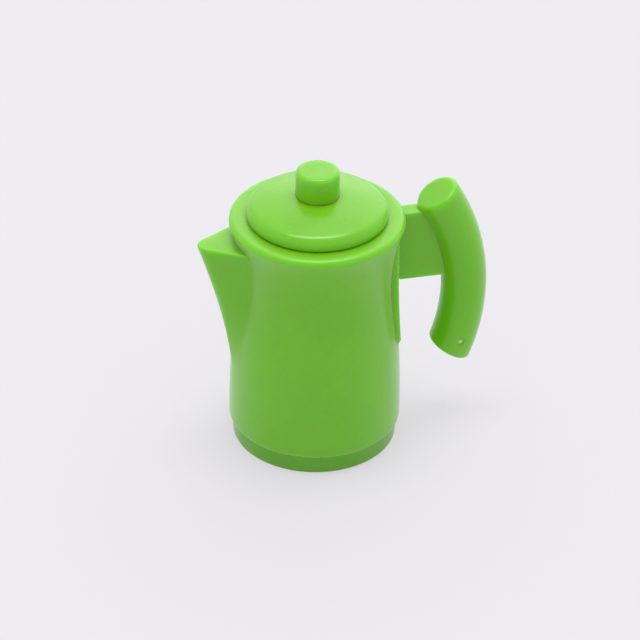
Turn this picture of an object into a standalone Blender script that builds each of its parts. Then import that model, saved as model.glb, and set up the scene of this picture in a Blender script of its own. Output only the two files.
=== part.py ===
"""Toy coffee pot for small play figures, moulded in five pieces.

A hollow pot with a beak spout stands on a pressed-in foot. The handle's tongue is pressed
through the flat-sided boss on the pot's back. The lid lifts straight up out of the mouth and
carries a pressed-in knob. Metres, +Z up, the handle towards +X and the spout towards -X, with
the origin at the middle of the foot's underside.
"""
from math import acos, atan2, cos, hypot, pi, radians, sin, sqrt, tan

import bmesh
import bpy

# Fits
PRESS_GAP = 0.00005      # all round a pressed-in piece
SEAT_GAP = 0.00004       # between faces that rest on each other
LID_GAP = 0.00012        # all round the lid's skirt, which lifts out by hand

# Pot shell
WAIST_R = 0.0070         # outer radius at the narrowest place
BOTTOM_FLARE = 0.00102   # how far the body's lower edge stands out beyond the waist
RIM_FLARE = 0.00101      # how far the rim stands out beyond the waist
POT_H = 0.0215           # foot seam up to the top of the rim
WAIST_DROP = 0.00633     # rim down to the waist
WALL = 0.0011            # wall at the waist
RIM_EDGE_R = 0.0005      # rounded outer edge of the rim
FLARE_ANGLE = radians(25)  # lean of the flare where the rim's edge starts
LOWER_EDGE_R = 0.0003
MOUTH_DEPTH = 0.0026     # straight part of the bore, for the lid's skirt
BORE_DRAFT = 0.0006      # the bore widens by this much on its way down
SEAT_STEP = 0.0004       # the foot's seat is wider than the bore by this much
SEAT_DEPTH = 0.0017

# Shares of the height that the side's smooth curve runs straight on at its ends
BOTTOM_PULL = 0.65
BELOW_WAIST_PULL = 0.25
ABOVE_WAIST_PULL = 0.45
RIM_PULL = 0.26

# Spout
SPOUT_REACH = 0.00415    # tip beyond the waist
SPOUT_DROP = 0.00171     # rim down to the beak's flat top
SPOUT_CLIMB = 0.00512    # foot seam up to where the beak leaves the body
SPOUT_LEAN = radians(18.3)  # front edge from upright, at the tip
SPOUT_SWELL = 0.00025    # outward pull of the front edge where it leaves the body
SPOUT_SINK = 0.00006     # the beak's root lies this far inside the body's surface
SPOUT_ROOT_W = 0.0060    # width where the flanks meet the body, at the beak's top
SPOUT_TAIL_W = 0.0022    # the same at the beak's lower end
NOSE_R = 0.0010          # round front edge
NOSE_SHARE = 0.4         # the nose is at most this share of the beak's depth

# Rear boss
BOSS_W = 0.0057
BOSS_H = 0.01343         # rim down to the boss's lower end
BOSS_FOOT_OUT = 0.00045  # boss face beyond the waist, at the boss's lower end
BOSS_PROUD = 0.00005     # the same at the waist
BOSS_TOP_OUT = 0.0001    # the same at the rim, where the flare covers it
BOSS_PULL = 0.35         # share of the height that the face runs straight on at its ends
BOSS_CORNER_R = 0.0015

# Foot
FOOT_H = 0.00183
FOOT_STEP = 0.00037      # foot edge inside the body's lower edge
FOOT_EDGE_R = 0.00012
PLUG_FLOOR = 0.0015
PLUG_WALL = 0.0008

# Handle
GRIP_R = 0.00212
GRIP_ARC_R = 0.0192      # bend of the grip's centre line
GRIP_REACH = 0.00711     # waist out to the centre line at its furthest place
GRIP_DROP = 0.00941      # rim down to that place
GRIP_UP = radians(32.2)
GRIP_DOWN = radians(21.0)
GRIP_END_LEAN = radians(7)  # the end faces lean inwards from square by this much
GRIP_EDGE_R = 0.00022
WEB_T = 0.00156
WEB_DROP = 0.00047       # rim down to the web's top edge
WEB_H = 0.00712
RELIEF_X = 0.00075       # cut-back lower corner of the web beside the boss
RELIEF_Z = 0.0013
TONGUE_T = 0.0011
TONGUE_H = 0.004
TONGUE_DROP = 0.0014     # web's top edge down to the tongue
TONGUE_SHORT = 0.0001    # the tongue stops this far outside the bore
GATE_ANGLE = radians(-15.3)  # place of the gate mark along the grip's bend
GATE_R = 0.0006
GATE_DEPTH = 0.0002

# Lid and knob
LID_LAP = 0.00054        # lid edge beyond the mouth
LID_SIDE_H = 0.00105     # seat up to where the dome would meet the side
LID_EDGE_R = 0.00095     # rounded edge between side and dome
LID_RISE = 0.00124       # dome above that place
LID_WALL = 0.0015        # thickness at the middle
SKIRT_H = 0.0016
SKIRT_WALL = 0.0008
KNOB_R = 0.0020
KNOB_H = 0.00255
KNOB_EDGE_R = 0.00042
KNOB_SINK = 0.00004      # the knob's spot face below the dome
STEM_R = 0.0009

# Places that follow from the sizes
BODY_Z = FOOT_H
RIM_Z = BODY_Z + POT_H
WAIST_Z = RIM_Z - WAIST_DROP
BOTTOM_R = WAIST_R + BOTTOM_FLARE
RIM_R = WAIST_R + RIM_FLARE
MOUTH_R = WAIST_R - WALL
BORE_R = MOUTH_R + BORE_DRAFT
SEAT_R = BORE_R + SEAT_STEP
SEAT_Z = BODY_Z + SEAT_DEPTH
MOUTH_Z = RIM_Z - MOUTH_DEPTH
FOOT_R = BOTTOM_R - FOOT_STEP
SPOUT_TOP_Z = RIM_Z - SPOUT_DROP
SPOUT_LOW_Z = BODY_Z + SPOUT_CLIMB
SPOUT_TIP_X = WAIST_R + SPOUT_REACH
BOSS_LOW_Z = RIM_Z - BOSS_H
GRIP_CENTRE_X = WAIST_R + GRIP_REACH - GRIP_ARC_R
GRIP_CENTRE_Z = RIM_Z - GRIP_DROP
WEB_TOP_Z = RIM_Z - WEB_DROP
WEB_LOW_Z = WEB_TOP_Z - WEB_H
TONGUE_TOP_Z = WEB_TOP_Z - TONGUE_DROP
TONGUE_LOW_Z = TONGUE_TOP_Z - TONGUE_H
LID_R = MOUTH_R + LID_LAP
LID_TOP = LID_SIDE_H + LID_RISE
LID_BALL_R = (LID_R ** 2 + LID_RISE ** 2) / (2 * LID_RISE)
LID_CEILING = LID_TOP - LID_WALL

# Fineness
TURN_STEPS = 64
KNOB_STEPS = 40
BAR_SIDES = 24
BAR_STEPS = 16
CURVE_STEPS = 8
SPOUT_STEPS = 12
EDGE_STEPS = 4
SMOOTH_ANGLE = radians(35)
MERGE = 1e-7             # points closer than this are one point
PAST = 0.001             # cutters run this far past the faces they cut

GREEN = (0.160, 0.472, 0.003, 1.0)


def clear_scene():
    for old in list(bpy.data.objects):
        bpy.data.objects.remove(old, do_unlink=True)


def plastic(name, roughness):
    """Opaque green moulded plastic."""
    material = bpy.data.materials.new(name)
    material.use_nodes = True
    shader = material.node_tree.nodes["Principled BSDF"]
    shader.inputs["Base Color"].default_value = GREEN
    shader.inputs["Roughness"].default_value = roughness
    shader.inputs["Metallic"].default_value = 0.0
    return material


def bezier(start, start_pull, end_pull, end, steps):
    """Points of a smooth curve between two ends, each with its own pull point."""
    points = []
    for step in range(steps + 1):
        t = step / steps
        shares = ((1 - t) ** 3, 3 * t * (1 - t) ** 2, 3 * t * t * (1 - t), t ** 3)
        first = sum(share * p[0] for share, p in zip(shares, (start, start_pull, end_pull, end)))
        second = sum(share * p[1] for share, p in zip(shares, (start, start_pull, end_pull, end)))
        points.append((first, second))
    return points


def arc(centre, radius, first, last, steps):
    """Points of a circular arc, with angles from the first axis towards the second."""
    points = []
    for step in range(steps + 1):
        angle = first + (last - first) * step / steps
        points.append((centre[0] + radius * cos(angle), centre[1] + radius * sin(angle)))
    return points


def levels(low, high, steps):
    return [low + (high - low) * step / steps for step in range(steps + 1)]


def along(curve, z):
    """First coordinate of a rising curve of (x, z) points at height z."""
    for (x0, z0), (x1, z1) in zip(curve, curve[1:]):
        if z0 <= z < z1:
            return x0 + (x1 - x0) * (z - z0) / (z1 - z0)
    return curve[0][0] if z < curve[0][1] else curve[-1][0]


def as_object(name, shape, material):
    """Close the mesh, point its faces outwards and make it an object."""
    bmesh.ops.remove_doubles(shape, verts=shape.verts, dist=MERGE)
    bmesh.ops.recalc_face_normals(shape, faces=shape.faces)
    mesh = bpy.data.meshes.new(name)
    shape.to_mesh(mesh)
    shape.free()
    mesh.materials.append(material)
    mesh.shade_smooth()
    mesh.set_sharp_from_angle(angle=SMOOTH_ANGLE)
    made = bpy.data.objects.new(name, mesh)
    bpy.context.collection.objects.link(made)
    return made


def turned(name, outline, material, steps=TURN_STEPS):
    """Spin an (r, z) outline round the Z axis into a solid."""
    shape = bmesh.new()
    verts = [shape.verts.new((r, 0.0, z)) for r, z in outline]
    edges = [shape.edges.new(pair) for pair in zip(verts, verts[1:])]
    bmesh.ops.spin(shape, geom=verts + edges, axis=(0, 0, 1), cent=(0, 0, 0),
                   angle=2 * pi, steps=steps, use_merge=True)
    return as_object(name, shape, material)


def loft(name, sections, material):
    """Skin a stack of closed sections, all with as many points, and cap both ends."""
    shape = bmesh.new()
    rings = [[shape.verts.new(point) for point in section] for section in sections]
    for low, high in zip(rings, rings[1:]):
        for i in range(len(low)):
            j = (i + 1) % len(low)
            shape.faces.new((low[i], low[j], high[j], high[i]))
    shape.faces.new(rings[0])
    shape.faces.new(rings[-1])
    return as_object(name, shape, material)


def plate(name, outline, thickness, material):
    """Extrude an (x, z) outline to a plate that is centred on y = 0."""
    sides = (-thickness / 2, thickness / 2)
    return loft(name, [[(x, y, z) for x, z in outline] for y in sides], material)


def block(name, x_range, thickness, z_range, material):
    low, high = z_range
    near, far = x_range
    return plate(name, [(near, low), (far, low), (far, high), (near, high)], thickness, material)


def combine(target, tool, operation):
    """Join the tool to the target, or cut it out, and keep the tool as a hidden guide."""
    change = target.modifiers.new(tool.name, 'BOOLEAN')
    change.operation = operation
    change.solver = 'EXACT'
    change.object = tool
    tool.hide_render = True
    tool.display_type = 'WIRE'


def body_side():
    """Outer side of the pot from the foot seam up to the top of the rim."""
    seam = arc((BOTTOM_R - LOWER_EDGE_R, BODY_Z + LOWER_EDGE_R), LOWER_EDGE_R, -pi / 2, 0, 2)
    start = seam[-1]
    waist = (WAIST_R, WAIST_Z)
    climb = WAIST_Z - start[1]
    lower = bezier(start, (BOTTOM_R, start[1] + BOTTOM_PULL * climb),
                   (WAIST_R, WAIST_Z - BELOW_WAIST_PULL * climb), waist, CURVE_STEPS + 2)
    rim = arc((RIM_R - RIM_EDGE_R, RIM_Z - RIM_EDGE_R), RIM_EDGE_R,
              -FLARE_ANGLE, pi / 2, EDGE_STEPS + 1)
    rise = rim[0][1] - WAIST_Z
    rim_pull = (rim[0][0] - RIM_PULL * rise * sin(FLARE_ANGLE),
                rim[0][1] - RIM_PULL * rise * cos(FLARE_ANGLE))
    upper = bezier(waist, (WAIST_R, WAIST_Z + ABOVE_WAIST_PULL * rise), rim_pull, rim[0], CURVE_STEPS)
    return seam + lower[1:] + upper[1:] + rim[1:]


BODY_SIDE = body_side()


def boss_face():
    """Face of the rear boss: it leans in up to the waist, then runs straight up into the flare."""
    foot = (WAIST_R + BOSS_FOOT_OUT, BOSS_LOW_Z)
    waist = (WAIST_R + BOSS_PROUD, WAIST_Z)
    pull = BOSS_PULL * (WAIST_Z - BOSS_LOW_Z)
    foot_pull = (foot[0] + BOSS_PULL * (waist[0] - foot[0]), foot[1] + pull)
    lower = bezier(foot, foot_pull, (waist[0], waist[1] - pull), waist, CURVE_STEPS)
    return lower + [(WAIST_R + BOSS_TOP_OUT, RIM_Z - RIM_EDGE_R)]


BOSS_FACE = boss_face()


def back_x(z):
    """Where the pot's back is at height z: the boss, or the flare where it covers the boss."""
    return max(along(BODY_SIDE, z), along(BOSS_FACE, z))


def bore_radius(z):
    """Radius of the pot's inside at a height between its seat and its mouth."""
    share = min(1.0, (z - SEAT_Z) / (MOUTH_Z - SEAT_Z))
    return BORE_R + (MOUTH_R - BORE_R) * share


def grip_point(angle):
    """Point of the grip's centre line, as (x, z)."""
    return (GRIP_CENTRE_X + GRIP_ARC_R * cos(angle), GRIP_CENTRE_Z + GRIP_ARC_R * sin(angle))


def beak_section(tip_x, z):
    """V with a round nose at one height, from the body's wall out to the front edge."""
    share = (z - SPOUT_LOW_Z) / (SPOUT_TOP_Z - SPOUT_LOW_Z)
    half = (SPOUT_TAIL_W + share * (SPOUT_ROOT_W - SPOUT_TAIL_W)) / 2
    root_x = sqrt((along(BODY_SIDE, z) - SPOUT_SINK) ** 2 - half ** 2)
    nose_r = min(NOSE_R, NOSE_SHARE * (tip_x - root_x))
    middle = tip_x - nose_r
    touch = atan2(half, root_x - middle) - acos(nose_r / hypot(half, root_x - middle))
    nose = arc((middle, 0.0), nose_r, touch, -touch, EDGE_STEPS + 2)
    outline = [(root_x - WALL / 2, half), (root_x, half)] + nose
    outline += [(root_x, -half), (root_x - WALL / 2, -half)]
    return [(-x, y, z) for x, y in outline]


def beak_solid(material):
    """Beak: a stack of V sections that narrow downwards and run into the body."""
    tip = (SPOUT_TIP_X, SPOUT_TOP_Z)
    low = (along(BODY_SIDE, SPOUT_LOW_Z) - SPOUT_SINK, SPOUT_LOW_Z)
    pull = (SPOUT_TOP_Z - SPOUT_LOW_Z) / 3
    front = bezier(low, (low[0] + SPOUT_SWELL, low[1] + pull),
                   (tip[0] - pull * sin(SPOUT_LEAN), tip[1] - pull * cos(SPOUT_LEAN)), tip, SPOUT_STEPS)
    return loft("beak_guide", [beak_section(tip_x, z) for tip_x, z in front], material)


def boss_solid(material):
    """Flat-sided boss on the back, drawn in to rounded corners at its lower end."""
    inside = MOUTH_R + WALL / 4
    straight = BOSS_W / 2 - BOSS_CORNER_R
    corner = arc((straight, BOSS_LOW_Z + BOSS_CORNER_R), BOSS_CORNER_R, -pi / 2, 0, EDGE_STEPS)
    outline = [(half, along(BOSS_FACE, z), z) for half, z in corner]
    outline += [(BOSS_W / 2, x, z) for x, z in BOSS_FACE if z > corner[-1][1]]
    sections = [[(inside, -half, z), (x, -half, z), (x, half, z), (inside, half, z)]
                for half, x, z in outline]
    return loft("boss_guide", sections, material)


def pot_shell(material):
    """Hollow pot: turned body with the beak and the boss, bored right through."""
    shell = turned("pot_shell", [(0.0, BODY_Z)] + BODY_SIDE + [(0.0, RIM_Z)], material)
    combine(shell, beak_solid(material), 'UNION')
    combine(shell, boss_solid(material), 'UNION')
    bore = [(0.0, BODY_Z - PAST), (SEAT_R, BODY_Z - PAST), (SEAT_R, SEAT_Z), (BORE_R, SEAT_Z),
            (MOUTH_R, MOUTH_Z), (MOUTH_R, RIM_Z + PAST), (0.0, RIM_Z + PAST)]
    combine(shell, turned("bore_guide", bore, material), 'DIFFERENCE')
    slot = block("slot_guide", (MOUTH_R - PAST, RIM_R + PAST), TONGUE_T + 2 * PRESS_GAP,
                 (TONGUE_LOW_Z - PRESS_GAP, TONGUE_TOP_Z + PRESS_GAP), material)
    combine(shell, slot, 'DIFFERENCE')
    return shell


def base_plug(material):
    """Stepped foot: a flange under the pot and a cupped spigot pressed into its bottom."""
    spigot_r = SEAT_R - PRESS_GAP
    flange_top = FOOT_H - SEAT_GAP
    spigot_top = SEAT_Z - SEAT_GAP
    cup_r = spigot_r - PLUG_WALL
    outline = [(0.0, 0.0)]
    outline += arc((FOOT_R - FOOT_EDGE_R, FOOT_EDGE_R), FOOT_EDGE_R, -pi / 2, 0, EDGE_STEPS)
    outline += [(FOOT_R, flange_top), (spigot_r, flange_top), (spigot_r, spigot_top),
                (cup_r, spigot_top), (cup_r, PLUG_FLOOR), (0.0, PLUG_FLOOR)]
    return turned("base_plug", outline, material)


def grip_solid(material):
    """Round bar bent along an arc, with leaning end faces and softly rounded edges."""
    shape = bmesh.new()
    x, z = grip_point(-GRIP_DOWN)
    ring = []
    for side in range(BAR_SIDES):
        turn = 2 * pi * side / BAR_SIDES
        out = GRIP_R * cos(turn)
        ring.append(shape.verts.new((x + out * cos(GRIP_DOWN), GRIP_R * sin(turn),
                                     z - out * sin(GRIP_DOWN))))
    first = [shape.edges.new((ring[i - 1], ring[i])) for i in range(BAR_SIDES)]
    swept = bmesh.ops.spin(shape, geom=ring + first, axis=(0, -1, 0),
                           cent=(GRIP_CENTRE_X, 0, GRIP_CENTRE_Z), angle=GRIP_UP + GRIP_DOWN,
                           steps=BAR_STEPS)
    for vert in shape.verts:
        across = vert.co.x - GRIP_CENTRE_X
        up = vert.co.z - GRIP_CENTRE_Z
        reach = hypot(across, up)
        angle = atan2(up, across)
        share = 2 * (angle + GRIP_DOWN) / (GRIP_UP + GRIP_DOWN) - 1
        angle += share * tan(GRIP_END_LEAN) * (reach - GRIP_ARC_R) / reach
        vert.co.x = GRIP_CENTRE_X + reach * cos(angle)
        vert.co.z = GRIP_CENTRE_Z + reach * sin(angle)
    last = [item for item in swept["geom_last"] if isinstance(item, bmesh.types.BMEdge)]
    bmesh.ops.contextual_create(shape, geom=first)
    bmesh.ops.contextual_create(shape, geom=last)
    bmesh.ops.recalc_face_normals(shape, faces=shape.faces)
    bmesh.ops.bevel(shape, geom=first + last, offset=GRIP_EDGE_R, offset_type='OFFSET',
                    segments=EDGE_STEPS - 1, profile=0.5, affect='EDGES', material=-1)
    return as_object("handle", shape, material)


def web_solid(material):
    """Flat web from the pot's back to the grip, cut back at its lower corner."""
    seat = [(back_x(z) + SEAT_GAP, z) for z in levels(WEB_LOW_Z + RELIEF_Z, WEB_TOP_Z, CURVE_STEPS)]
    outer = [(GRIP_CENTRE_X + sqrt(GRIP_ARC_R ** 2 - (z - GRIP_CENTRE_Z) ** 2), z)
             for z in (WEB_TOP_Z, WEB_LOW_Z)]
    return plate("web_guide", seat + outer + [(seat[0][0] + RELIEF_X, WEB_LOW_Z)], WEB_T, material)


def gate_mark(material):
    """Ball that leaves the shallow dish of the moulding gate on the grip's side."""
    ball_r = (GATE_R ** 2 + GATE_DEPTH ** 2) / (2 * GATE_DEPTH)
    x, z = grip_point(GATE_ANGLE)
    shape = bmesh.new()
    bmesh.ops.create_icosphere(shape, subdivisions=2, radius=ball_r)
    bmesh.ops.translate(shape, verts=shape.verts, vec=(x, GATE_DEPTH - GRIP_R - ball_r, z))
    return as_object("gate_guide", shape, material)


def handle(material):
    """Grip, web and tongue in one moulding, with the gate mark near the grip's lower end."""
    made = grip_solid(material)
    combine(made, web_solid(material), 'UNION')
    tongue = block("tongue_guide",
                   (bore_radius(TONGUE_LOW_Z) + TONGUE_SHORT, back_x(TONGUE_TOP_Z) + PAST),
                   TONGUE_T, (TONGUE_LOW_Z, TONGUE_TOP_Z), material)
    combine(made, tongue, 'UNION')
    combine(made, gate_mark(material), 'DIFFERENCE')
    return made


def dome_height(radius):
    """Height of the lid's dome above its seat at a distance from the axis."""
    return LID_TOP - LID_BALL_R + sqrt(LID_BALL_R ** 2 - radius ** 2)


KNOB_SEAT = dome_height(KNOB_R) - KNOB_SINK


def lid(material):
    """Domed lid with a skirt for the mouth and a flat spot with a hole for the knob."""
    hole_r = STEM_R + PRESS_GAP
    spot_r = KNOB_R + PRESS_GAP
    skirt_r = MOUTH_R - LID_GAP
    edge_x = LID_R - LID_EDGE_R
    edge_rise = sqrt((LID_BALL_R - LID_EDGE_R) ** 2 - edge_x ** 2)
    slope = atan2(edge_x, edge_rise)
    edge = arc((edge_x, LID_TOP - LID_BALL_R + edge_rise), LID_EDGE_R, 0.0, pi / 2 - slope, EDGE_STEPS + 2)
    dome = [(radius, dome_height(radius))
            for radius in levels(LID_BALL_R * sin(slope), spot_r, CURVE_STEPS)[1:]]
    outline = [(hole_r, LID_CEILING), (skirt_r - SKIRT_WALL, LID_CEILING),
               (skirt_r - SKIRT_WALL, -SKIRT_H), (skirt_r, -SKIRT_H), (skirt_r, 0.0), (LID_R, 0.0)]
    outline += edge + dome + [(spot_r, KNOB_SEAT), (hole_r, KNOB_SEAT), (hole_r, LID_CEILING)]
    made = turned("lid", outline, material)
    made.location = (0.0, 0.0, RIM_Z + SEAT_GAP)
    return made


def lid_knob(material, carrier):
    """Round knob with a stem pressed into the lid."""
    rest = KNOB_SEAT + SEAT_GAP
    stem_end = LID_CEILING - rest
    outline = [(0.0, stem_end), (STEM_R, stem_end), (STEM_R, 0.0), (KNOB_R, 0.0)]
    outline += arc((KNOB_R - KNOB_EDGE_R, KNOB_H - KNOB_EDGE_R), KNOB_EDGE_R, 0.0, pi / 2, EDGE_STEPS)
    outline += [(0.0, KNOB_H)]
    made = turned("lid_knob", outline, material, KNOB_STEPS)
    made.parent = carrier
    made.location = (0.0, 0.0, rest)
    return made


clear_scene()
pot_plastic = plastic("pot_plastic", 0.26)
lid_plastic = plastic("lid_plastic", 0.2)
base_plug(pot_plastic)
pot_shell(pot_plastic)
handle(pot_plastic)
lid_knob(lid_plastic, lid(lid_plastic))
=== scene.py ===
from math import acos, atan2, cos, hypot, pi, radians, sin, sqrt, tan

import bmesh
import bpy
from mathutils import Matrix, Vector
from mathutils.geometry import interpolate_bezier


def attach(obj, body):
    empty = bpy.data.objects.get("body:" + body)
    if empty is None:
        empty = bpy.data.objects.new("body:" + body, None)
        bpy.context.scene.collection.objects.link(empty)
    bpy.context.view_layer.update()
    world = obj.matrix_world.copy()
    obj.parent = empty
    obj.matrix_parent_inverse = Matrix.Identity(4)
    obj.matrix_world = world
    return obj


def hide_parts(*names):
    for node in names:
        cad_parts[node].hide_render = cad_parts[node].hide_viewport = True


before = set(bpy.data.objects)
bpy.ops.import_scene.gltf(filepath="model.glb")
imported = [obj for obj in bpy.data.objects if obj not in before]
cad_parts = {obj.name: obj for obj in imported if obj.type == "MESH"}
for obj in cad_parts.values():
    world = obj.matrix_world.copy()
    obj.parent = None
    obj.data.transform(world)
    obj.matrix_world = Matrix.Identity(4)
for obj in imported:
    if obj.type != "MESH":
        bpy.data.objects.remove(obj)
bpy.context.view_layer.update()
mm = 0.001

# Foot: a shallow cup of satin green plastic, moulded by itself and pressed into the pot's open
# bottom. Only its stepped-in side band shows. Its green is darker than the pot's as painted shade,
# standing in for the shadow under the body's overhang and near the table.
foot_radius = 7.65 * mm
foot_height = 1.79 * mm
foot_lower_edge = 0.12 * mm
foot_upper_edge = 0.08 * mm
spigot_radius = 6.85 * mm
spigot_top = 3.49 * mm
foot_cup_radius = 6.05 * mm
foot_floor = 1.5 * mm
spigot_edge = 0.12 * mm
plastic_green = (0.170, 0.510, 0.003, 1)
plastic_shade = (0.144, 0.473, 0.002, 1)
rubbed_green = (0.186, 0.525, 0.010, 1)
torn_green = (0.520, 0.720, 0.330, 1)
# The foot's two greens are the pot's greens darkened: painted shade for the shadow under the overhang and by
# the table
foot_painted_shade_green = (0.126, 0.425, 0.003, 1)
foot_painted_shade_tone = (0.108, 0.396, 0.002, 1)
foot_steps = 160


def fillet(before, corner, after, radius, steps=5):
    """Points of a rounded corner on an (r, z) outline."""
    corner = Vector(corner)
    back = (Vector(before) - corner).normalized()
    on = (Vector(after) - corner).normalized()
    half = back.angle(on) / 2
    reach = radius / sin(half)
    centre = corner + (back + on).normalized() * reach
    first = corner + back * (reach * cos(half)) - centre
    last = corner + on * (reach * cos(half)) - centre
    turn = first.angle_signed(last)
    return [centre + Matrix.Rotation(-turn * step / steps, 2) @ first for step in range(steps + 1)]


def soft_outline(points):
    """Outline from (r, z, corner radius) points, the corners with a radius rounded."""
    outline = []
    for i, (r, z, radius) in enumerate(points):
        if radius > 0:
            outline += fillet(points[i - 1][:2], (r, z), points[(i + 1) % len(points)][:2], radius)
        else:
            outline.append(Vector((r, z)))
    return outline


def stepped(outline, longest=0.4 * mm):
    """Split the long stretches of an outline, so that a mark on a corner stays near it."""
    points = []
    for start, end in zip(outline, outline[1:]):
        count = max(1, round((end - start).length / longest))
        points += [start.lerp(end, step / count) for step in range(count)]
    return points + [outline[-1]]


def spun(outline, sectors, closed=False, start=0.0):
    """Turn an outline round Z, sector by sector, each given as (angle, steps)."""
    shape = bmesh.new()
    ring = [shape.verts.new((r, 0, z)) for r, z in outline]
    pairs = list(zip(ring, ring[1:])) + ([(ring[-1], ring[0])] if closed else [])
    last = ring + [shape.edges.new(pair) for pair in pairs]
    bmesh.ops.rotate(shape, verts=ring, cent=(0, 0, 0), matrix=Matrix.Rotation(start, 3, 'Z'))
    for angle, steps in sectors:
        last = bmesh.ops.spin(shape, geom=last, axis=(0, 0, 1), cent=(0, 0, 0), angle=angle,
                              steps=steps, use_merge=len(sectors) == 1)["geom_last"]
    return shape


# Wear starts on a bend of 1 / blunt_bend in radius and is full on one of 1 / sharp_bend
weld_gap = 0.0005 * mm
blunt_bend = 0.5 / mm
sharp_bend = 3.0 / mm
least_square = 1e-14
crease_angle = radians(40)


def piece_from(shape, name, body, node, material):
    """Close a mesh, mark how sharply it turns at each point, and set it on its body."""
    bmesh.ops.remove_doubles(shape, verts=shape.verts, dist=weld_gap)
    bmesh.ops.recalc_face_normals(shape, faces=shape.faces)
    shape.normal_update()
    mark = shape.verts.layers.float.new("edge")
    for vert in shape.verts:
        bends = [0.0]
        for edge in vert.link_edges:
            step = vert.co - edge.other_vert(vert).co
            bends.append(2 * step.dot(vert.normal) / max(step.length_squared, least_square))
        vert[mark] = min(1.0, max(0.0, (max(bends) - blunt_bend) / (sharp_bend - blunt_bend)))
    mesh = bpy.data.meshes.new(name)
    shape.to_mesh(mesh)
    shape.free()
    mesh.shade_smooth()
    mesh.set_sharp_from_angle(angle=crease_angle)
    mesh.materials.append(material)
    piece = bpy.data.objects.new(name, mesh)
    bpy.context.scene.collection.objects.link(piece)
    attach(piece, body)
    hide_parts(node)


# Sizes of the surface's noise patterns, and how far each changes tone, roughness and height
flow_size = 5 * mm
mottle_size = 0.5 * mm
grain_size = 0.25 * mm
noise_low = 0.3
noise_high = 0.7
flow_tone = 0.5
mottle_tone = 0.4
rub_low = 0.35
rub_least = 0.25
rubbed_tone = 0.5
flow_roughness = 0.015
mottle_roughness = 0.008
rubbed_gloss = 0.03
worn_sheen = 0.2
mottle_height = 1.5


def moulded_finish():
    """Shared surface of moulded plastic: soft flow tones, fine grain, rubbed and torn edges."""
    group = bpy.data.node_groups.new("moulded_finish", "ShaderNodeTree")
    for name, kind in (("Colour", "NodeSocketColor"), ("Shade", "NodeSocketColor"),
                       ("Rubbed", "NodeSocketColor"), ("Torn", "NodeSocketColor"),
                       ("Roughness", "NodeSocketFloat"), ("Sheen", "NodeSocketFloat"),
                       ("Grain", "NodeSocketFloat")):
        group.interface.new_socket(name, in_out='INPUT', socket_type=kind)
    for name, kind in (("Colour", "NodeSocketColor"), ("Roughness", "NodeSocketFloat"),
                       ("Sheen", "NodeSocketFloat"), ("Height", "NodeSocketFloat")):
        group.interface.new_socket(name, in_out='OUTPUT', socket_type=kind)
    nodes, link = group.nodes, group.links.new
    given = nodes.new("NodeGroupInput")
    result = nodes.new("NodeGroupOutput")
    place = nodes.new("ShaderNodeTexCoord").outputs["Object"]

    def noise(size, detail):
        node = nodes.new("ShaderNodeTexNoise")
        node.inputs["Scale"].default_value = 1 / size
        node.inputs["Detail"].default_value = detail
        link(place, node.inputs["Vector"])
        return node.outputs["Fac"]

    def ranged(value, low, high, to_low, to_high):
        node = nodes.new("ShaderNodeMapRange")
        link(value, node.inputs["Value"])
        for key, number in (("From Min", low), ("From Max", high), ("To Min", to_low), ("To Max", to_high)):
            node.inputs[key].default_value = number
        return node.outputs["Result"]

    def mixed(factor, first, second):
        node = nodes.new("ShaderNodeMix")
        node.data_type = 'RGBA'
        link(factor, node.inputs["Factor"])
        link(first, node.inputs["A"])
        link(second, node.inputs["B"])
        return node.outputs["Result"]

    def maths(operation, first, second):
        node = nodes.new("ShaderNodeMath")
        node.operation = operation
        for socket, value in zip(node.inputs, (first, second)):
            if isinstance(value, (int, float)):
                socket.default_value = value
            else:
                link(value, socket)
        return node.outputs["Value"]

    flow = noise(flow_size, detail=3)
    mottle = noise(mottle_size, detail=2)
    grain = noise(grain_size, detail=0)
    edge = nodes.new("ShaderNodeAttribute")
    edge.attribute_name = "edge"
    rubbed = maths('MULTIPLY', ranged(mottle, rub_low, noise_high, rub_least, 1.0), edge.outputs["Fac"])
    tone = mixed(ranged(flow, noise_low, noise_high, 0.0, flow_tone),
                 given.outputs["Colour"], given.outputs["Shade"])
    tone = mixed(ranged(mottle, noise_low, noise_high, 0.0, mottle_tone), tone, given.outputs["Shade"])
    tone = mixed(maths('MULTIPLY', rubbed, rubbed_tone), tone, given.outputs["Rubbed"])
    torn = nodes.new("ShaderNodeAttribute")
    torn.attribute_name = "torn"
    tone = mixed(torn.outputs["Fac"], tone, given.outputs["Torn"])
    link(tone, result.inputs["Colour"])
    uneven = maths('ADD', ranged(flow, noise_low, noise_high, -flow_roughness, flow_roughness),
                   ranged(mottle, noise_low, noise_high, -mottle_roughness, mottle_roughness))
    rough = maths('ADD', given.outputs["Roughness"], uneven)
    link(maths('SUBTRACT', rough, maths('MULTIPLY', rubbed, rubbed_gloss)), result.inputs["Roughness"])
    bloom = ranged(edge.outputs["Fac"], 0.0, 1.0, 1.0, worn_sheen)
    link(maths('MULTIPLY', given.outputs["Sheen"], bloom), result.inputs["Sheen"])
    ripple = maths('ADD', maths('MULTIPLY', grain, given.outputs["Grain"]),
                   maths('MULTIPLY', mottle, mottle_height))
    link(ripple, result.inputs["Height"])
    return group


moulding = moulded_finish()
plastic_ior = 1.55
sheen_roughness = 0.35
scatter_colours = (0.25, 1.0, 0.1)
scatter_reach = 1.5 * mm
bump_strength = 0.5
bump_height = 0.0015 * mm


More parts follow.
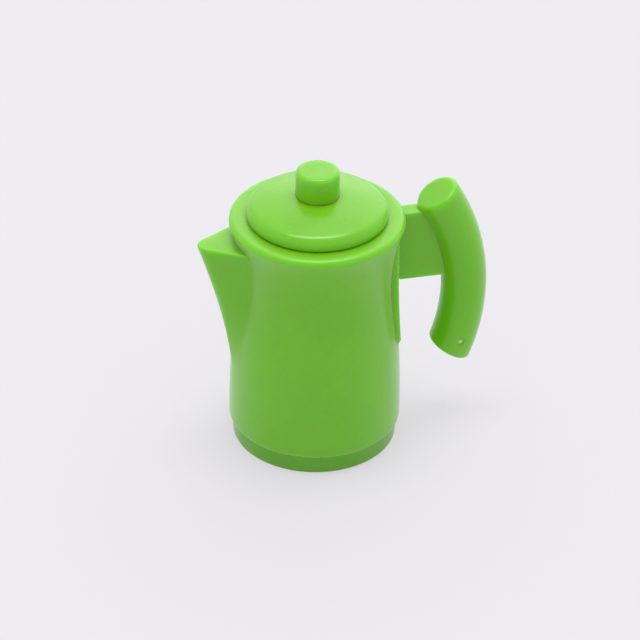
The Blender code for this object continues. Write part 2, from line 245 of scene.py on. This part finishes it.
def green_plastic(name, colour, shade, roughness, sheen, grain):
    """Opaque green plastic with the shared moulded surface."""
    material = bpy.data.materials.new(name)
    material.use_nodes = True
    nodes, link = material.node_tree.nodes, material.node_tree.links.new
    shader = nodes["Principled BSDF"]
    shader.inputs["IOR"].default_value = plastic_ior
    shader.inputs["Sheen Roughness"].default_value = sheen_roughness
    shader.inputs["Subsurface Weight"].default_value = 1.0
    shader.inputs["Subsurface Radius"].default_value = scatter_colours
    shader.inputs["Subsurface Scale"].default_value = scatter_reach
    finish = nodes.new("ShaderNodeGroup")
    finish.node_tree = moulding
    for key, value in (("Colour", colour), ("Shade", shade), ("Rubbed", rubbed_green), ("Torn", torn_green),
                       ("Roughness", roughness), ("Sheen", sheen), ("Grain", grain)):
        finish.inputs[key].default_value = value
    bump = nodes.new("ShaderNodeBump")
    bump.inputs["Strength"].default_value = bump_strength
    bump.inputs["Distance"].default_value = bump_height
    link(finish.outputs["Colour"], shader.inputs["Base Color"])
    link(finish.outputs["Roughness"], shader.inputs["Roughness"])
    link(finish.outputs["Sheen"], shader.inputs["Sheen Weight"])
    link(finish.outputs["Height"], bump.inputs["Height"])
    link(bump.outputs["Normal"], shader.inputs["Normal"])
    return material


# The foot's material carries its darker greens, which are painted shade
foot_painted_shade_plastic = green_plastic("foot_painted_shade_plastic", foot_painted_shade_green, foot_painted_shade_tone, roughness=0.3, sheen=0.3, grain=1.0)
foot_outline = soft_outline([
    (0, 0, 0), (foot_radius, 0, foot_lower_edge), (foot_radius, foot_height, foot_upper_edge),
    (spigot_radius, foot_height, 0), (spigot_radius, spigot_top, spigot_edge),
    (foot_cup_radius, spigot_top, spigot_edge), (foot_cup_radius, foot_floor, spigot_edge),
    (0, foot_floor, 0)])
foot = spun(stepped(foot_outline), [(2 * pi, foot_steps)])
piece_from(foot, "foot", "pot", "base_plug", foot_painted_shade_plastic)

# Pot shell: a waisted hollow body of satin green plastic with a flared rim, moulded in
# one shot with the beak spout in front and the flat-sided boss for the handle behind.
waist_radius = 7.0 * mm
bottom_radius = 8.02 * mm
rim_radius = 8.01 * mm
body_low = 1.83 * mm
rim_top = 23.33 * mm
waist_height = 17.0 * mm
rim_edge = 0.5 * mm
flare_lean = radians(25)
lower_edge = 0.3 * mm
mouth_radius = 5.9 * mm
mouth_edge = 0.18 * mm
mouth_low = 20.73 * mm
bore_radius = 6.5 * mm
seat_radius = 6.9 * mm
seat_top = 3.53 * mm
bottom_pull = 0.65
waist_pull_down = 0.25
waist_pull_up = 0.45
flare_pull = 0.26
side_steps = 90
flare_steps = 60


def levels(low, high, steps):
    """Evenly spaced values from low to high, both included."""
    return [low + (high - low) * step / steps for step in range(steps + 1)]


def along(curve, height):
    """First coordinate of a rising (r, z) curve at a height."""
    for (r0, z0), (r1, z1) in zip(curve, curve[1:]):
        if z0 <= height < z1:
            return r0 + (r1 - r0) * (height - z0) / (z1 - z0)
    return curve[0][0] if height < curve[0][1] else curve[-1][0]


def smooth_step(value):
    """Soft change from 0 to 1 while the value goes from 0 to 1."""
    value = min(1.0, max(0.0, value))
    return value * value * (3 - 2 * value)


side_low = body_low + lower_edge
climb = waist_height - side_low
rim_centre = Vector((rim_radius - rim_edge, rim_top - rim_edge))
flare_top = rim_centre + rim_edge * Vector((cos(flare_lean), -sin(flare_lean)))
rise = flare_top.y - waist_height
flare_guide = flare_top - flare_pull * rise * Vector((sin(flare_lean), cos(flare_lean)))
waist = Vector((waist_radius, waist_height))
side = interpolate_bezier(Vector((bottom_radius, side_low)),
                          Vector((bottom_radius, side_low + bottom_pull * climb)),
                          Vector((waist_radius, waist_height - waist_pull_down * climb)),
                          waist, side_steps)
side += interpolate_bezier(waist, Vector((waist_radius, waist_height + waist_pull_up * rise)),
                           flare_guide, flare_top, flare_steps)[1:]

# Beak: V sections with a round nose, wide at the flat top and running out on the body below
beak_top = 21.62 * mm
beak_low = 6.95 * mm
beak_tail = 5.5 * mm
beak_tip = 11.13 * mm
beak_lean = radians(18.3)
beak_swelling = 0.25 * mm
beak_top_half = 3.0 * mm
beak_low_half = 1.1 * mm
nose_radius = 1.0 * mm
nose_share = 0.4
beak_fillet = 0.2 * mm
beak_run_out = 0.1 * mm
beak_edge = 0.3 * mm
beak_corner = 0.12 * mm
beak_sink = 0.06 * mm
beak_least = 0.001 * mm
fillet_share = 0.5
beak_front_steps = 60
beak_pull = (beak_top - beak_low) / 3
beak_start = Vector((along(side, beak_low) - beak_sink, beak_low))
beak_end = Vector((beak_tip, beak_top))
beak_front = [beak_start - Vector((beak_swelling, beak_pull)) * (beak_low - beak_tail) / beak_pull]
beak_front += interpolate_bezier(beak_start, beak_start + Vector((beak_swelling, beak_pull)),
                                 beak_end - beak_pull * Vector((sin(beak_lean), cos(beak_lean))),
                                 beak_end, beak_front_steps)


def joined(first, second, blend):
    """The larger of two sizes, with a soft change from one to the other."""
    overlap = max(blend - abs(first - second), 0.0) / blend
    return max(first, second) + overlap ** 2 * blend / 4


def beak_swell(angle, height):
    """How far the beak stands out of the body at an angle from its front edge."""
    if height < beak_tail:
        return 0.0
    body = along(side, height)
    tip = joined(along(beak_front, height), body, beak_run_out)
    if tip - body < beak_least:
        return 0.0
    share = (height - beak_low) / (beak_top - beak_low)
    half = beak_low_half + share * (beak_top_half - beak_low_half)
    root = sqrt(body ** 2 - half ** 2)
    nose = min(nose_radius, nose_share * (tip - root))
    middle = tip - nose
    touch = atan2(half, root - middle) - acos(nose / hypot(half, root - middle))
    if angle < atan2(nose * sin(touch), middle + nose * cos(touch)):
        out = middle * cos(angle) + sqrt(max(0.0, nose ** 2 - (middle * sin(angle)) ** 2))
    else:
        past = max(0.0, angle - touch)
        out = (middle * cos(touch) + nose) / cos(angle - touch - past) - body * past
    return joined(out, body, min(beak_fillet, fillet_share * (tip - body))) - body


# Boss: a raised panel with a nearly upright flat face. Its straight sides spread downwards, and
# it ends below in rounded corners
boss_top_half = 2.55 * mm
boss_low_half = 3.4 * mm
boss_corner = 1.3 * mm
boss_least = 0.15 * mm
boss_edge = 0.1 * mm
boss_end_edge = 0.35 * mm
boss_foot = Vector((7.27 * mm, 10.0 * mm))
boss_waist = Vector((7.0 * mm, waist_height))
boss_top = Vector((7.08 * mm, rim_top - rim_edge))
boss_low = boss_foot.y
boss_pull = 0.35
boss_face_steps = 40
boss_climb = boss_waist.y - boss_foot.y
boss_face = interpolate_bezier(boss_foot, boss_foot.lerp(boss_waist, boss_pull),
                               boss_waist - Vector((0, boss_pull * boss_climb)),
                               boss_waist, boss_face_steps)
boss_face.append(boss_top)


def boss_swell(angle, height):
    """How far the boss stands out of the body at an angle from the back."""
    body = along(side, height)
    half = boss_low_half + (boss_top_half - boss_low_half) * (height - boss_low) / (boss_top.y - boss_low)
    across = abs(body * sin(angle))
    past_side = across - (half - boss_corner)
    past_end = boss_low + boss_corner - height
    if past_side > 0 and past_end > 0:
        inside = boss_corner - hypot(past_side, past_end)
    else:
        inside = min(half - across, height - boss_low)
    face = along(boss_face, height)
    middle = max(face - body, boss_least * smooth_step((boss_waist.y - height) / boss_climb))
    corner = face / sqrt(1 - (half / body) ** 2) - body
    stands = max(0.0, middle + (corner - middle) * (across / half) ** 2)
    edge = boss_edge + (boss_end_edge - boss_edge) * smooth_step(past_end / boss_corner)
    return stands * smooth_step((inside + edge) / (2 * edge))


# Rows that fold into the beak's flat top: (offset, height there, trim of the flank, ledge at the wall).
# The offsets, and the values that make them, are in millimetres from the top
flank_first = -0.40
flank_step = 0.06
ledge_first = 0.05
ledge_step = 0.08
row_match = 0.01
shelf_rows = [(flank_first + flank_step * step, -beak_edge * (1 - sin(turn)),
               beak_edge * (1 - cos(turn)), None)
              for step, turn in enumerate(levels(0, pi / 2, 5))]
shelf_rows += [(ledge_first + ledge_step * step, beak_corner * (1 - cos(turn)), None,
                beak_corner * (1 - sin(turn)))
               for step, turn in enumerate(levels(0, pi / 2, 3))]

# Heights of the shell's rings: close together where the boss ends, and clear of the folded rows
boss_end_low = 8.9 * mm
boss_end_top = 11.0 * mm
clear_below = 0.5 * mm
clear_above = 0.4 * mm
fold_reach = 0.35 * mm
fold_full = 0.3 * mm
heights = levels(side_low, boss_end_low, 26) + levels(boss_end_low, boss_end_top, 26)[1:]
heights += levels(boss_end_top, beak_top - clear_below, 54)[1:]
heights += [beak_top + row[0] * mm for row in shelf_rows]
heights += levels(beak_top + clear_above, flare_top.y, 6)
shell_outline = [Vector((seat_radius, body_low))]
shell_outline += [Vector((bottom_radius - lower_edge * (1 - cos(turn)), side_low - lower_edge * sin(turn)))
                  for turn in (pi / 2, pi / 3, pi / 6)]
shell_outline += [Vector((along(side, z), z)) for z in heights]
shell_outline += [rim_centre + rim_edge * Vector((cos(turn), sin(turn)))
                  for turn in levels(-flare_lean, pi / 2, 10)[1:]]
shell_outline += [Vector((radius, rim_top))
                  for radius in levels(rim_centre.x, mouth_radius + mouth_edge, 4)[1:-1]]
shell_outline += fillet((rim_radius, rim_top), (mouth_radius, rim_top), (mouth_radius, mouth_low), mouth_edge)
shell_outline += [Vector((mouth_radius, mouth_low)), Vector((bore_radius, seat_top)),
                  Vector((seat_radius, seat_top))]
boss_sector = radians(68)
beak_sector = radians(96)
plain_sector = pi - boss_sector / 2 - beak_sector / 2
boss_steps = 136
beak_steps = 160
plain_steps = 44
shell = spun(shell_outline, [(boss_sector, boss_steps), (plain_sector, plain_steps),
                             (beak_sector, beak_steps), (plain_sector, plain_steps)],
             closed=True, start=-boss_sector / 2)
for vert in shell.verts:
    x, y, z = vert.co
    if hypot(x, y) < 0.5 * (seat_radius + waist_radius) or not side_low < z < flare_top.y:
        continue
    angle = atan2(y, x)
    from_front = pi - abs(angle)
    swell = 0.0
    if abs(angle) < boss_sector / 2:
        swell = boss_swell(angle, z)
    elif from_front < beak_sector / 2 and z < beak_top + fold_reach:
        swell = beak_swell(from_front, min(z, beak_top))
        offset = (z - beak_top) / mm
        for row, lift, trim, ledge in shelf_rows:
            if abs(offset - row) < row_match:
                held = smooth_step(swell / fold_full)
                z += held * (beak_top + lift - z)
                swell = max(0.0, swell - trim) if ledge is None else min(swell, ledge)
    radius = along(side, z) + swell
    vert.co = (radius * cos(angle), radius * sin(angle), z)
pot_plastic = green_plastic("pot_plastic", plastic_green, plastic_shade, roughness=0.3, sheen=0.37, grain=1.0)
piece_from(shell, "shell", "pot", "pot_shell", pot_plastic)

# Handle: a round bent grip bar and a flat web in one green moulding, pressed into the
# boss on the pot's back. The moulding gate left a small dish with a nub on the grip's side.
grip_radius = 2.12 * mm
grip_bend = 19.2 * mm
grip_centre = Vector((-5.09 * mm, 0, 13.92 * mm))
grip_up = radians(32.8)
grip_down = radians(20.8)
grip_low_lean = radians(8.5)
grip_top_edge = 0.5 * mm
grip_low_edge = 0.45 * mm
web_thickness = 1.56 * mm
web_top = 22.86 * mm
web_low = 15.74 * mm
web_edge = 0.1 * mm
web_gap = 0.005 * mm
wear_reach = 0.25 * mm
relief_out = 0.75 * mm
relief_up = 1.3 * mm
gate_turn = radians(-15.3)
gate_radius = 0.6 * mm
gate_depth = 0.2 * mm
nub_radius = 0.22 * mm
torn_reach = 1.2 * nub_radius
torn_fade = 0.3 * nub_radius
grip_facets = 72
grip_steps = 20
web_corner_turn = radians(30)


def fused(target, tool, operation):
    """Join or cut two closed shapes and give the result back as one shape."""
    workers = []
    for shape in (target, tool):
        mesh = bpy.data.meshes.new("fusing")
        shape.to_mesh(mesh)
        shape.free()
        workers.append(bpy.data.objects.new("fusing", mesh))
        bpy.context.scene.collection.objects.link(workers[-1])
    change = workers[0].modifiers.new("fusing", 'BOOLEAN')
    change.operation = operation
    change.solver = 'EXACT'
    change.object = workers[1]
    bpy.context.view_layer.update()
    result = bmesh.new()
    result.from_object(workers[0], bpy.context.evaluated_depsgraph_get())
    for worker in workers:
        bpy.data.objects.remove(worker, do_unlink=True)
    return result


grip = bmesh.new()
ring = bmesh.ops.create_circle(grip, segments=grip_facets, radius=grip_radius)["verts"]
bmesh.ops.translate(grip, verts=ring, vec=(grip_bend, 0, 0))
bmesh.ops.rotate(grip, verts=ring, cent=(0, 0, 0), matrix=Matrix.Rotation(grip_down, 3, 'Y'))
bmesh.ops.translate(grip, verts=ring, vec=grip_centre)
first = list(grip.edges)
swept = bmesh.ops.spin(grip, geom=ring + first, axis=(0, -1, 0), cent=grip_centre,
                       angle=grip_up + grip_down, steps=grip_steps)["geom_last"]
last = [item for item in swept if isinstance(item, bmesh.types.BMEdge)]
for vert in grip.verts:
    offset = vert.co - grip_centre
    reach = hypot(offset.x, offset.z)
    angle = atan2(offset.z, offset.x)
    share = (angle - grip_up) / (grip_up + grip_down)
    angle += share * tan(grip_low_lean) * (reach - grip_bend) / reach
    vert.co = grip_centre + Vector((reach * cos(angle), offset.y, reach * sin(angle)))
bmesh.ops.contextual_create(grip, geom=first)
bmesh.ops.contextual_create(grip, geom=last)
bmesh.ops.recalc_face_normals(grip, faces=grip.faces)
for rim, rounding in ((first, grip_low_edge), (last, grip_top_edge)):
    bmesh.ops.bevel(grip, geom=rim, offset=rounding, offset_type='OFFSET', segments=8,
                    profile=0.5, affect='EDGES', material=-1)
grip_ends = [face for face in grip.faces if len(face.verts) > 4]
bmesh.ops.inset_individual(grip, faces=grip_ends, thickness=wear_reach)

seat = [(max(along(side, z), along(boss_face, z)) + web_gap, z)
        for z in levels(web_low + relief_up, web_top, 16)]
outer = [(grip_centre.x + sqrt(grip_bend ** 2 - (z - grip_centre.z) ** 2), z) for z in (web_top, web_low)]
web = bmesh.new()
corners = [web.verts.new((x, -web_thickness / 2, z))
           for x, z in seat + outer + [(seat[0][0] + relief_out, web_low)]]
flat = web.faces.new(corners)
moved = bmesh.ops.extrude_face_region(web, geom=[flat])["geom"]
bmesh.ops.translate(web, verts=[item for item in moved if isinstance(item, bmesh.types.BMVert)],
                    vec=(0, web_thickness, 0))
bmesh.ops.recalc_face_normals(web, faces=web.faces)
rim_edges = [edge for edge in web.edges if edge.calc_face_angle(0) > web_corner_turn]
bmesh.ops.bevel(web, geom=rim_edges, offset=web_edge, offset_type='OFFSET', segments=3,
                profile=0.5, affect='EDGES', material=-1)
web_flats = [face for face in web.faces if face.calc_area() > web_thickness ** 2]
bmesh.ops.inset_individual(web, faces=web_flats, thickness=wear_reach)

dish_radius = (gate_radius ** 2 + gate_depth ** 2) / (2 * gate_depth)
dish = bmesh.new()
bmesh.ops.create_icosphere(dish, subdivisions=4, radius=dish_radius)
gate = grip_centre + grip_bend * Vector((cos(gate_turn), 0, sin(gate_turn)))
dish_place = gate + Vector((0, gate_depth - grip_radius - dish_radius, 0))
bmesh.ops.translate(dish, verts=dish.verts, vec=dish_place)
nub = bmesh.new()
bmesh.ops.create_icosphere(nub, subdivisions=3, radius=nub_radius)
nub_place = gate + Vector((0, gate_depth - grip_radius, 0))
bmesh.ops.translate(nub, verts=nub.verts, vec=nub_place)
handle = fused(fused(fused(grip, web, 'UNION'), dish, 'DIFFERENCE'), nub, 'UNION')
torn = handle.verts.layers.float.new("torn")
for vert in handle.verts:
    vert[torn] = smooth_step((torn_reach - (vert.co - nub_place).length) / torn_fade)
piece_from(handle, "handle", "pot", "handle", pot_plastic)

# Lid: a domed disc of the same plastic, a little glossier, with a skirt that drops into
# the mouth. A flat spot with a hole in its middle takes the knob's stem.
lid_seat = 23.37 * mm
lid_radius = 6.44 * mm
lid_edge = 1.05 * mm
lid_side = 1.05 * mm
lid_rise = 1.24 * mm
lid_wall = 1.5 * mm
lid_low = -0.03 * mm
lid_under_edge = 0.3 * mm
skirt_radius = 5.78 * mm
skirt_wall = 0.8 * mm
skirt_height = 1.6 * mm
skirt_edge = 0.12 * mm
knob_radius = 2.0 * mm
knob_spot = 2.01 * mm
knob_sink = 0.04 * mm
stem_hole = 0.95 * mm
lid_steps = 192
lid_edge_steps = 14
dome_steps = 32
lid_top = lid_side + lid_rise
dome_ball = (lid_radius ** 2 + lid_rise ** 2) / (2 * lid_rise)
edge_middle = lid_radius - lid_edge
edge_slope = atan2(edge_middle, sqrt((dome_ball - lid_edge) ** 2 - edge_middle ** 2))
dome_reach = dome_ball * sin(edge_slope)


def dome(radius):
    """Height of the lid's dome above its seat at a distance from the middle."""
    return lid_top - dome_ball + sqrt(dome_ball ** 2 - radius ** 2)


lid_plastic = green_plastic("lid_plastic", plastic_green, plastic_shade,
                            roughness=0.26, sheen=0.16, grain=2.5)
ceiling = lid_top - lid_wall
knob_seat = dome(knob_radius) - knob_sink
edge_low = dome(dome_reach) - lid_edge * cos(edge_slope)
lid_outline = soft_outline([
    (stem_hole, ceiling, 0), (skirt_radius - skirt_wall, ceiling, skirt_edge),
    (skirt_radius - skirt_wall, -skirt_height, skirt_edge), (skirt_radius, -skirt_height, skirt_edge),
    (skirt_radius, lid_low, 0), (lid_radius, lid_low, lid_under_edge), (lid_radius, edge_low, 0)])
lid_outline += [Vector((edge_middle + lid_edge * cos(turn), edge_low + lid_edge * sin(turn)))
                for turn in levels(0, pi / 2 - edge_slope, lid_edge_steps)[1:]]
lid_outline += [Vector((radius, dome(radius)))
                for radius in levels(dome_reach, knob_spot, dome_steps)[1:]]
lid_outline += [Vector((knob_spot, knob_seat)), Vector((stem_hole, knob_seat)),
                Vector((stem_hole, ceiling))]
lid = spun(stepped(lid_outline), [(2 * pi, lid_steps)])
bmesh.ops.translate(lid, verts=lid.verts, vec=(0, 0, lid_seat))
piece_from(lid, "lid", "lid", "lid", lid_plastic)

# Knob: a short round button of the lid's plastic with a rounded top edge, on a stem that
# is pressed through the hole in the lid.
knob_height = 2.55 * mm
knob_edge = 0.42 * mm
knob_foot_edge = 0.02 * mm
stem_radius = 0.9 * mm
stem_edge = 0.1 * mm
knob_steps = 128
knob_low = lid_seat + knob_seat + knob_sink
knob_outline = soft_outline([
    (0, lid_seat + ceiling, 0), (stem_radius, lid_seat + ceiling, stem_edge), (stem_radius, knob_low, 0),
    (knob_radius, knob_low, knob_foot_edge), (knob_radius, knob_low + knob_height, knob_edge),
    (0, knob_low + knob_height, 0)])
knob = spun(stepped(knob_outline), [(2 * pi, knob_steps)])
piece_from(knob, "knob", "lid", "lid_knob", lid_plastic)

# Setting: a pale matt table top, soft light from all round and a wide lamp overhead,
# and the camera in front, above and a little to the left of the pot.
floor_colour = (0.604, 0.600, 0.650, 1)
floor_half = 3.0
floor_roughness = 0.8
floor_gloss = 0.1
paper_white = (0.863, 0.831, 0.880, 1)
shadow_lift = 0.58
room_front = 0.89
room_back = 1.75
room_bright_side = Vector((0.41, 0.718, 0.562))
bright_from = 0.68
bright_full = 0.98
room_warm_white = (1.03, 1.0, 0.97, 1)
lamp_place = Vector((0.0, 0.05, 1.1))
lamp_size = (0.8, 0.3)
lamp_power = 5.0
aim = Vector((0.3777, -0.1418, 11.9314)) * mm
camera_place = Vector((-55.2645, -223.3103, 166.9242)) * mm
camera_right = Vector((0.972333, -0.233224, 0.013255))
camera_lens = 168.75
film_width = 36
nearest_seen = 0.01

floor_shape = bmesh.new()
bmesh.ops.create_grid(floor_shape, x_segments=2, y_segments=2, size=floor_half)
floor_mesh = bpy.data.meshes.new("table_top")
floor_shape.to_mesh(floor_mesh)
floor_shape.free()
table_top = bpy.data.objects.new("table_top", floor_mesh)
bpy.context.scene.collection.objects.link(table_top)
paper = bpy.data.materials.new("table_paper")
paper.use_nodes = True
nodes, link = paper.node_tree.nodes, paper.node_tree.links.new
matt = nodes["Principled BSDF"]
matt.inputs["Base Color"].default_value = floor_colour
matt.inputs["Roughness"].default_value = floor_roughness
matt.inputs["Specular IOR Level"].default_value = floor_gloss
# What is seen of the table is partly a flat white, which keeps the shadow on it as pale as in the photo
glow = nodes.new("ShaderNodeEmission")
glow.inputs["Color"].default_value = paper_white
rays = nodes.new("ShaderNodeLightPath")
seen = rays.outputs["Is Camera Ray"]
for ray in ("Is Glossy Ray", "Is Transmission Ray"):
    either = nodes.new("ShaderNodeMath")
    either.operation = 'MAXIMUM'
    link(seen, either.inputs[0])
    link(rays.outputs[ray], either.inputs[1])
    seen = either.outputs["Value"]
lift = nodes.new("ShaderNodeMath")
lift.operation = 'MULTIPLY'
lift.inputs[1].default_value = shadow_lift
link(seen, lift.inputs[0])
shown = nodes.new("ShaderNodeMixShader")
link(lift.outputs["Value"], shown.inputs["Fac"])
link(matt.outputs["BSDF"], shown.inputs[1])
link(glow.outputs["Emission"], shown.inputs[2])
link(shown.outputs["Shader"], nodes["Material Output"].inputs["Surface"])
floor_mesh.materials.append(paper)

scene = bpy.context.scene
scene.world = bpy.data.worlds.new("soft_room")
scene.world.use_nodes = True
nodes, link = scene.world.node_tree.nodes, scene.world.node_tree.links.new
facing = nodes.new("ShaderNodeVectorMath")
facing.operation = 'DOT_PRODUCT'
facing.inputs[1].default_value = room_bright_side
link(nodes.new("ShaderNodeTexCoord").outputs["Generated"], facing.inputs[0])
level = nodes.new("ShaderNodeMapRange")
level.interpolation_type = 'SMOOTHSTEP'
level.inputs["From Min"].default_value = bright_from
level.inputs["From Max"].default_value = bright_full
level.inputs["To Min"].default_value = room_front
level.inputs["To Max"].default_value = room_back
link(facing.outputs["Value"], level.inputs["Value"])
nodes["Background"].inputs["Color"].default_value = room_warm_white
link(level.outputs["Result"], nodes["Background"].inputs["Strength"])

lamp = bpy.data.lights.new("overhead_lamp", 'AREA')
lamp.shape = 'RECTANGLE'
lamp.size, lamp.size_y = lamp_size
lamp.energy = lamp_power
fitting = bpy.data.objects.new("overhead_lamp", lamp)
fitting.location = lamp_place
fitting.rotation_euler = (aim - lamp_place).to_track_quat('-Z', 'Y').to_euler()
scene.collection.objects.link(fitting)

lens = bpy.data.cameras.new("camera")
lens.lens = camera_lens
lens.sensor_width = film_width
lens.clip_start = nearest_seen
camera = bpy.data.objects.new("camera", lens)
forward = (aim - camera_place).normalized()
camera_up = camera_right.cross(forward)
turned = Matrix((camera_right, camera_up, -forward)).transposed()
camera.matrix_world = Matrix.Translation(camera_place) @ turned.to_4x4()
scene.collection.objects.link(camera)
scene.camera = camera
scene.view_settings.view_transform = 'Standard'
